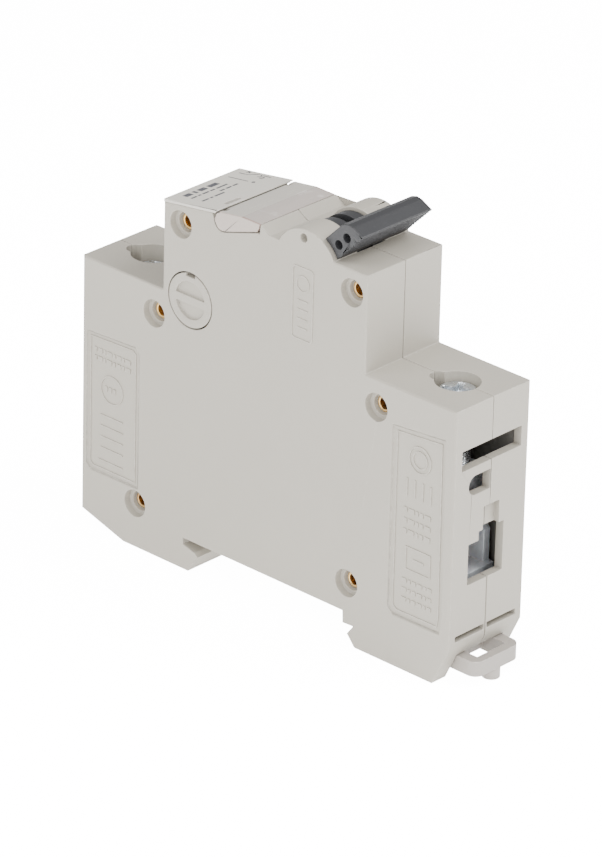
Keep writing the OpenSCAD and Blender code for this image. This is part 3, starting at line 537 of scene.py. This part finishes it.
# ---------- pieces of revolution ----------

def grid_mesh(name, rings, closed_loop=False):
    """A closed mesh of rings of the same count; a first or last ring of one point closes to that point."""
    verts, faces, starts = [], [], []
    for ring in rings:
        starts.append(len(verts))
        verts.extend(tuple(c * MM for c in point) for point in ring)
    pairs = list(range(len(rings) - 1)) + ([len(rings) - 1] if closed_loop else [])
    for i in pairs:
        k = (i + 1) % len(rings)
        a, b, na, nb = starts[i], starts[k], len(rings[i]), len(rings[k])
        count = max(na, nb)
        for j in range(count):
            n = (j + 1) % count
            if na == 1:
                faces.append((a, b + n, b + j))
            elif nb == 1:
                faces.append((a + j, a + n, b))
            else:
                faces.append((a + j, a + n, b + n, b + j))
    mesh = bpy.data.meshes.new(name)
    mesh.from_pydata(verts, [], faces)
    bm = bmesh.new()
    bm.from_mesh(mesh)
    bmesh.ops.recalc_face_normals(bm, faces=bm.faces)
    bm.to_mesh(mesh)
    bm.free()
    return mesh


def clamp01(value):
    return max(0.0, min(1.0, value))


def recess_depth(x, y, turn=25, deep=1.3):
    """Depth of a cross recess under a point of a screw's head."""
    depth = 0.0
    for arm in (turn, turn + 90):
        a = math.radians(arm)
        along, across = abs(x * math.cos(a) + y * math.sin(a)), abs(y * math.cos(a) - x * math.sin(a))
        width = 0.56 if along > 0.9 else 0.56 + 0.25 * (0.9 - along)
        depth = max(depth, deep * clamp01((width - across) / 0.1) * clamp01((2.5 - along) / 0.35))
    return depth


def terminal_screw(node, x, top, body, low=23.1, count=144, pitch=0.8):
    """A plated screw with a rolled thread, a chamfered head and a cross recess."""
    def ring(radius, height):
        return [(x + radius(t) * math.cos(t), radius(t) * math.sin(t), height)
                for t in (math.tau * j / count for j in range(count))]

    def threaded(z, depth):
        def radius(t):
            phase = (z / pitch - t / math.tau) % 1
            return 2.49 - depth * min(1, abs(2 * phase - 1) * 1.25)
        return radius

    under, steps = top - 2.6, 8
    rings = [[(x, 0, low)], ring(lambda t: 1.75, low)]
    turns = int((under - 0.7 - low - 0.35) / pitch * steps)
    for i in range(turns + 1):
        z = low + 0.35 + i * pitch / steps
        rings.append(ring(threaded(z, 0.42), z))
    rings.append(ring(lambda t: 2.1, under - 0.6))
    rings.append(ring(lambda t: 2.1, under))
    for r, z in ((3.2, under), (3.33, under + 0.12), (3.33, top - 0.5), (3.2, top - 0.2), (2.95, top - 0.06)):
        rings.append(ring(lambda t, r=r: r, z))
    for i in range(40):
        r = 2.88 * (1 - i / 40)
        rings.append([(x + r * math.cos(t), r * math.sin(t),
                       top - 0.01 - recess_depth(r * math.cos(t), r * math.sin(t)))
                      for t in (math.tau * j / count for j in range(count))])
    rings.append([(x, 0, top - 0.01 - recess_depth(0, 0))])
    piece = as_object(node + "_turned", grid_mesh(node + "_turned", rings), "screw_zinc", smooth=40)
    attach(piece, body)
    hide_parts(node)


terminal_screw("line_screw", -SCREW_X, 40.9, "line_screw")
terminal_screw("load_screw", SCREW_X, 42.1, "load_screw")


# ---------- repeated pieces ----------

def repeat_group():
    """Geometry nodes: one piece set on each point, made real, in one finish."""
    tree = bpy.data.node_groups.new("repeat_on_points", "GeometryNodeTree")
    face = tree.interface
    face.new_socket("Points", in_out="INPUT", socket_type="NodeSocketGeometry")
    face.new_socket("Piece", in_out="INPUT", socket_type="NodeSocketObject")
    face.new_socket("Finish", in_out="INPUT", socket_type="NodeSocketMaterial")
    face.new_socket("Geometry", in_out="OUTPUT", socket_type="NodeSocketGeometry")
    head, tail = tree.nodes.new("NodeGroupInput"), tree.nodes.new("NodeGroupOutput")
    source = tree.nodes.new("GeometryNodeObjectInfo")
    source.inputs["As Instance"].default_value = True
    put = tree.nodes.new("GeometryNodeInstanceOnPoints")
    real = tree.nodes.new("GeometryNodeRealizeInstances")
    finish = tree.nodes.new("GeometryNodeSetMaterial")
    tree.links.new(head.outputs["Points"], put.inputs["Points"])
    tree.links.new(head.outputs["Piece"], source.inputs["Object"])
    tree.links.new(source.outputs["Geometry"], put.inputs["Instance"])
    tree.links.new(put.outputs["Instances"], real.inputs["Geometry"])
    tree.links.new(real.outputs["Geometry"], finish.inputs["Geometry"])
    tree.links.new(head.outputs["Finish"], finish.inputs["Material"])
    tree.links.new(finish.outputs["Geometry"], tail.inputs["Geometry"])
    return tree


REPEAT = repeat_group()


def repeated(name, master, points, material, node, body="housing", smooth=35):
    """A mesh set on each of the points, as one plain piece that stands for a CAD node."""
    pattern = bpy.data.objects.new(name + "_master", master)
    scene.collection.objects.link(pattern)
    dots = bpy.data.meshes.new(name)
    dots.from_pydata([tuple(c * MM for c in p) for p in points], [], [])
    piece = bpy.data.objects.new(name, dots)
    scene.collection.objects.link(piece)
    nodes = piece.modifiers.new("repeat", "NODES")
    nodes.node_group = REPEAT
    sockets = {item.name: item.identifier for item in REPEAT.interface.items_tree if item.in_out == "INPUT"}
    nodes[sockets["Piece"]] = pattern
    nodes[sockets["Finish"]] = MATERIALS[material]
    bake_modifiers(piece)
    bpy.data.objects.remove(pattern)
    piece.data.materials.clear()
    piece.data.materials.append(MATERIALS[material])
    piece.data.polygons.foreach_set("use_smooth", [True] * len(piece.data.polygons))
    piece.data.set_sharp_from_angle(angle=math.radians(smooth))
    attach(piece, body)
    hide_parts(node)
    return piece


def rivet_mesh(reach=6.9, count=48):
    """A hollow rivet with both rims rolled over."""
    half = [(0.95, reach - 0.2), (0.99, reach - 0.07), (1.1, reach - 0.01), (1.25, reach),
            (1.4, reach - 0.03), (1.5, reach - 0.1), (1.54, reach - 0.2), (1.49, reach - 0.3),
            (1.36, reach - 0.34), (1.25, reach - 0.42)]
    profile = half + [(r, -y) for r, y in reversed(half)]
    rings = [[(r * math.cos(t), y, r * math.sin(t)) for t in (math.tau * j / count for j in range(count))]
             for r, y in profile]
    return grid_mesh("rivet", rings, closed_loop=True)


RIVETS = ((-19.1, 56.2), (-24.9, 38.4), (-28.8, 2.3), (18.6, 56.6), (24.5, 38.6), (19.1, 5.2))
repeated("rivets_rolled", rivet_mesh(), [(x, 0, z) for x, z in RIVETS], "brass", "rivets")


# ---------- raised and printed marks ----------

def ribbon(bm, path, width, low, high, place, closed=False):
    """A flat strip along a path in a plane: place(u, v, height) gives its point in millimetres."""
    count = len(path)
    sides = []
    for i, (u, v) in enumerate(path):
        before = path[i - 1] if i or closed else (2 * u - path[1][0], 2 * v - path[1][1])
        past_end = (2 * u - path[i - 1][0], 2 * v - path[i - 1][1])
        after = path[(i + 1) % count] if i < count - 1 or closed else past_end
        first = Vector((u - before[0], v - before[1])).normalized()
        second = Vector((after[0] - u, after[1] - v)).normalized()
        lean = Vector((-first.y - second.y, first.x + second.x)).normalized()
        stretch = 1 / max(0.35, lean.dot(Vector((-first.y, first.x))))
        step = lean * width / 2 * stretch
        sides.append([bm.verts.new(place(u + s * step.x, v + s * step.y, h) * MM)
                      for s, h in ((1, low), (1, high), (-1, high), (-1, low))])
    for i in range(count if closed else count - 1):
        a, b = sides[i], sides[(i + 1) % count]
        for k in range(4):
            bm.faces.new((a[k], a[(k + 1) % 4], b[(k + 1) % 4], b[k]))
    if not closed:
        bm.faces.new(sides[0][::-1])
        bm.faces.new(sides[-1])


def arc(u, v, r, start=0, end=360, steps=28):
    whole = abs(end - start) >= 360
    return [(u + r * math.cos(math.radians(a)), v + r * math.sin(math.radians(a)))
            for a in (start + (end - start) * i / steps for i in range(steps if whole else steps + 1))]


def marks(name, strokes, place, material, slot, body="housing"):
    """Strokes of (path, width, low, high, closed) as one piece."""
    bm = bmesh.new()
    for path, width, low, high, closed in strokes:
        ribbon(bm, path, width, low, high, place, closed)
    bmesh.ops.recalc_face_normals(bm, faces=bm.faces)
    mesh = bpy.data.meshes.new(name)
    bm.to_mesh(mesh)
    bm.free()
    piece = as_object(name, mesh, material)
    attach(piece, body)
    return piece


def on_near(u, v, height):
    """u along X, v along Z, height outwards from the near side face."""
    return Vector((u, -HALF_W - height, v))


def raised(path, width=0.22, closed=False, floor=-PANEL_DEPTH, up=0.13):
    return (path, width, floor - 0.05, floor + up, closed)


def bars(x0, x1, z, lengths, gap=0.35, width=0.3):
    """A row of plain short bars along X."""
    row, x = [], x0
    while x < x1:
        for length in lengths:
            if x + length > x1:
                return row
            row.append(raised([(x, z), (x + length, z)], width))
            x += length + gap
    return row


left = [raised([(-39.5, 29.5), (-29.7, 29.9), (-29.1, 29.3), (-29.1, 5.9), (-38.9, 5.9), (-39.5, 6.5)],
               0.2, True)]
for row in range(2):
    left += bars(-38.6, -30.2, 27.4 - 1.5 * row, (0.5, 0.9, 0.4, 1.1), width=0.75)
left.append(raised(arc(-34.6, 20.9, 2.5), closed=True))
left += bars(-36.2, -32.8, 20.9, (0.6, 0.6, 0.6), width=0.9)
for z in (15.8, 13.8, 11.8, 9.8):
    left.append(raised([(-37.2, z), (-32.0, z)]))
left.append(raised([(-37.6, 7.4), (-31.9, 7.4)]))
right = [raised([(29.1, 36.0), (38.6, 36.8), (38.9, 6.2), (38.6, 4.5), (29.9, 4.4), (29.1, 5.2)], 0.2, True)]
right.append(raised(arc(34.0, 32.4, 2.3), closed=True))
right.append(raised(arc(34.0, 32.4, 1.5), closed=True))
for x in (31.4, 33.1, 34.8, 36.5):
    right.append(raised([(x, 28.6), (x, 25.4)], 0.3))
for row in range(3):
    right += bars(30.9, 37.4, 22.9 - 1.9 * row, (0.7, 1.2, 0.5), width=0.8)
right.append(raised([(31.6, 16.4), (36.8, 16.4), (36.8, 12.4), (31.6, 12.4)], closed=True))
right.append(raised([(33.0, 14.4), (35.4, 14.4)], 0.4))
for row in range(3):
    right += bars(30.9, 37.4, 10.3 - 1.7 * row, (1.0, 0.5, 0.8), width=0.65)
upright = [raised([(6.3, 57.4), (9.9, 57.4), (10.3, 57.0), (10.3, 45.2),
                   (9.9, 44.8), (6.3, 44.8), (5.9, 45.2), (5.9, 57.0)],
                  0.24, True, 0, 0.1)]
upright.append(raised(arc(8.1, 54.6, 1.35), 0.22, True, 0, 0.1))
for z in (51.6, 50.0, 48.4, 46.8):
    upright.append(raised([(7.0, z), (9.2, z)], 0.26, False, 0, 0.1))
marks("near_marks", left + right + upright, on_near, "housing_grey", "housing_grey")


def on_plate(u, v, height):
    """u along X, v along Y, height up from the sloping front plate."""
    return Vector((u, v, 59.6 + (u + 23) * 1.5 / 10.8 + height))


def ink(path, width=0.16, closed=False):
    return (path, width, -0.02, 0.025, closed)


printed = []
for y0, y1 in ((-6.4, -4.9), (-4.3, -3.7), (-3.1, -1.5), (-0.9, 1.2)):
    printed.append(ink([(-20.6, y0), (-20.6, y1)], 1.15))
for x, spans in ((-18.9, ((-6.6, -5.4), (-5.0, -4.4), (-4.0, -2.6), (-2.2, -1.2), (-0.8, 1.7))),
                 (-17.5, ((-1.4, -0.4), (0, 1.2), (1.6, 2.7))),
                 (-16.4, ((-6.7, -5.2), (-4.8, -4.2), (-3.8, -1.6)))):
    for y0, y1 in spans:
        printed.append(ink([(x, y0), (x, y1)], 0.42))
printed.append(ink([(-21.3, 4.5), (-16.9, 4.5)]))
printed.append(ink(arc(-15.8, 4.6, 0.22, steps=12), 0.2, True))
printed.append(ink([(-20.4, 7.7), (-19.6, 8.3)], 0.2))
printed.append(ink([(-20.4, 8.3), (-19.6, 7.7)], 0.2))
printed.append(ink([(-21.2, 6.9), (-19.4, 6.9), (-17.6, 8.1)]))
printed.append(ink(arc(-17.2, 7.4, 0.45, -90, 90, 10)))
printed.append(ink([(-16.4, 6.6), (-16.4, 7.2), (-15.8, 7.2), (-15.8, 6.6)], 0.14, True))
printed.append(ink([(-16.6, 7.8), (-14.9, 7.8)]))
marks("front_print", printed, on_plate, "ink", "mechanism_black")

for node in frame["record"]["subparts"]:
    piece = frame["nodes"][node["node"]]
    piece.data.materials.clear()
    piece.data.materials.append(MATERIALS[node["material_slot"]])

ground = bpy.data.meshes.new("floor")
reach, level = 4.0, (FOOT_Z - 0.05) * MM
ground.from_pydata([(-reach, -reach, level), (reach, -reach, level),
                    (reach, reach, level), (-reach, reach, level)],
                   [], [(0, 1, 2, 3)])
floor = bpy.data.objects.new("floor", ground)
scene.collection.objects.link(floor)
pale = bpy.data.materials.new("pale_floor")
pale.use_nodes = True
pale.node_tree.nodes["Principled BSDF"].inputs["Base Color"].default_value = (0.95, 0.95, 0.95, 1)
pale.node_tree.nodes["Principled BSDF"].inputs["Roughness"].default_value = 0.9
pale.node_tree.nodes["Principled BSDF"].inputs["Emission Color"].default_value = (1, 1, 1, 1)
sight = add(pale.node_tree, "ShaderNodeLightPath")
glow = spread(pale.node_tree, sight.outputs["Is Camera Ray"], 0, 1, FLOOR_LIGHT, FLOOR_SEEN)
pale.node_tree.links.new(glow, pale.node_tree.nodes["Principled BSDF"].inputs["Emission Strength"])
floor.data.materials.append(pale)
